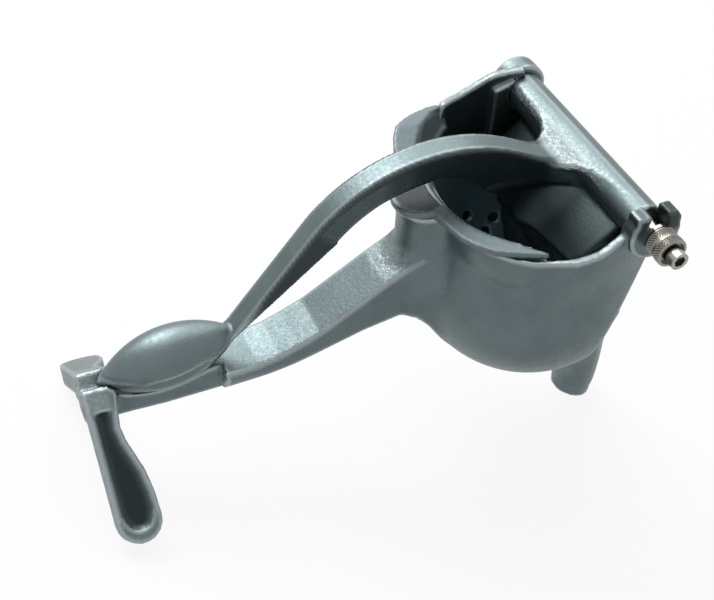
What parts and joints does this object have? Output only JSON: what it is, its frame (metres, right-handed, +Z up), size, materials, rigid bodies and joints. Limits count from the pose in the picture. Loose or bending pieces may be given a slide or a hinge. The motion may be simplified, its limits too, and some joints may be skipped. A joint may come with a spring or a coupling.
{
  "type": "lever citrus press",
  "caption": "Cast aluminium hand press for citrus: a cup with strainer and long stand, and a hinged lever with press head and grip.",
  "frame": {"origin": "centre of the foot's sole, on the table plane", "axes": "+Z up, +X from the handle end towards the pivot end, +Y along the pivot pin from the knurled nut towards the closed boss"},
  "size_m": [0.2079, 0.1047, 0.122],
  "materials": {
    "cast_aluminium": "satin",
    "strainer_aluminium": "satin",
    "pin_steel": "polished",
    "nut_nickel": "satin"
  },
  "bodies": {
    "base": {"cup": "cast_aluminium", "far_ear": "cast_aluminium", "near_ear": "cast_aluminium", "column": "cast_aluminium", "handle": "cast_aluminium", "foot": "cast_aluminium", "left_leg": "cast_aluminium", "right_leg": "cast_aluminium", "strainer": "strainer_aluminium", "pivot_pin": "pin_steel", "pin_collar": "pin_steel"},
    "lever": {"lever_hub": "cast_aluminium", "lever_arm": "cast_aluminium", "press_head": "cast_aluminium", "grip": "cast_aluminium"},
    "nut": {"clamp_nut": "nut_nickel"}
  },
  "joints": [
    {"name": "lever_swing", "type": "hinge", "parent": "base", "child": "lever", "pos_m": [-0.04046, 0, 0.11306], "axis": [0, 1, 0], "range_deg": [0, 110]},
    {"name": "nut_turn", "type": "hinge", "parent": "base", "child": "nut", "pos_m": [-0.04046, -0.05, 0.11306], "axis": [0, 1, 0], "continuous": true}
  ]
}
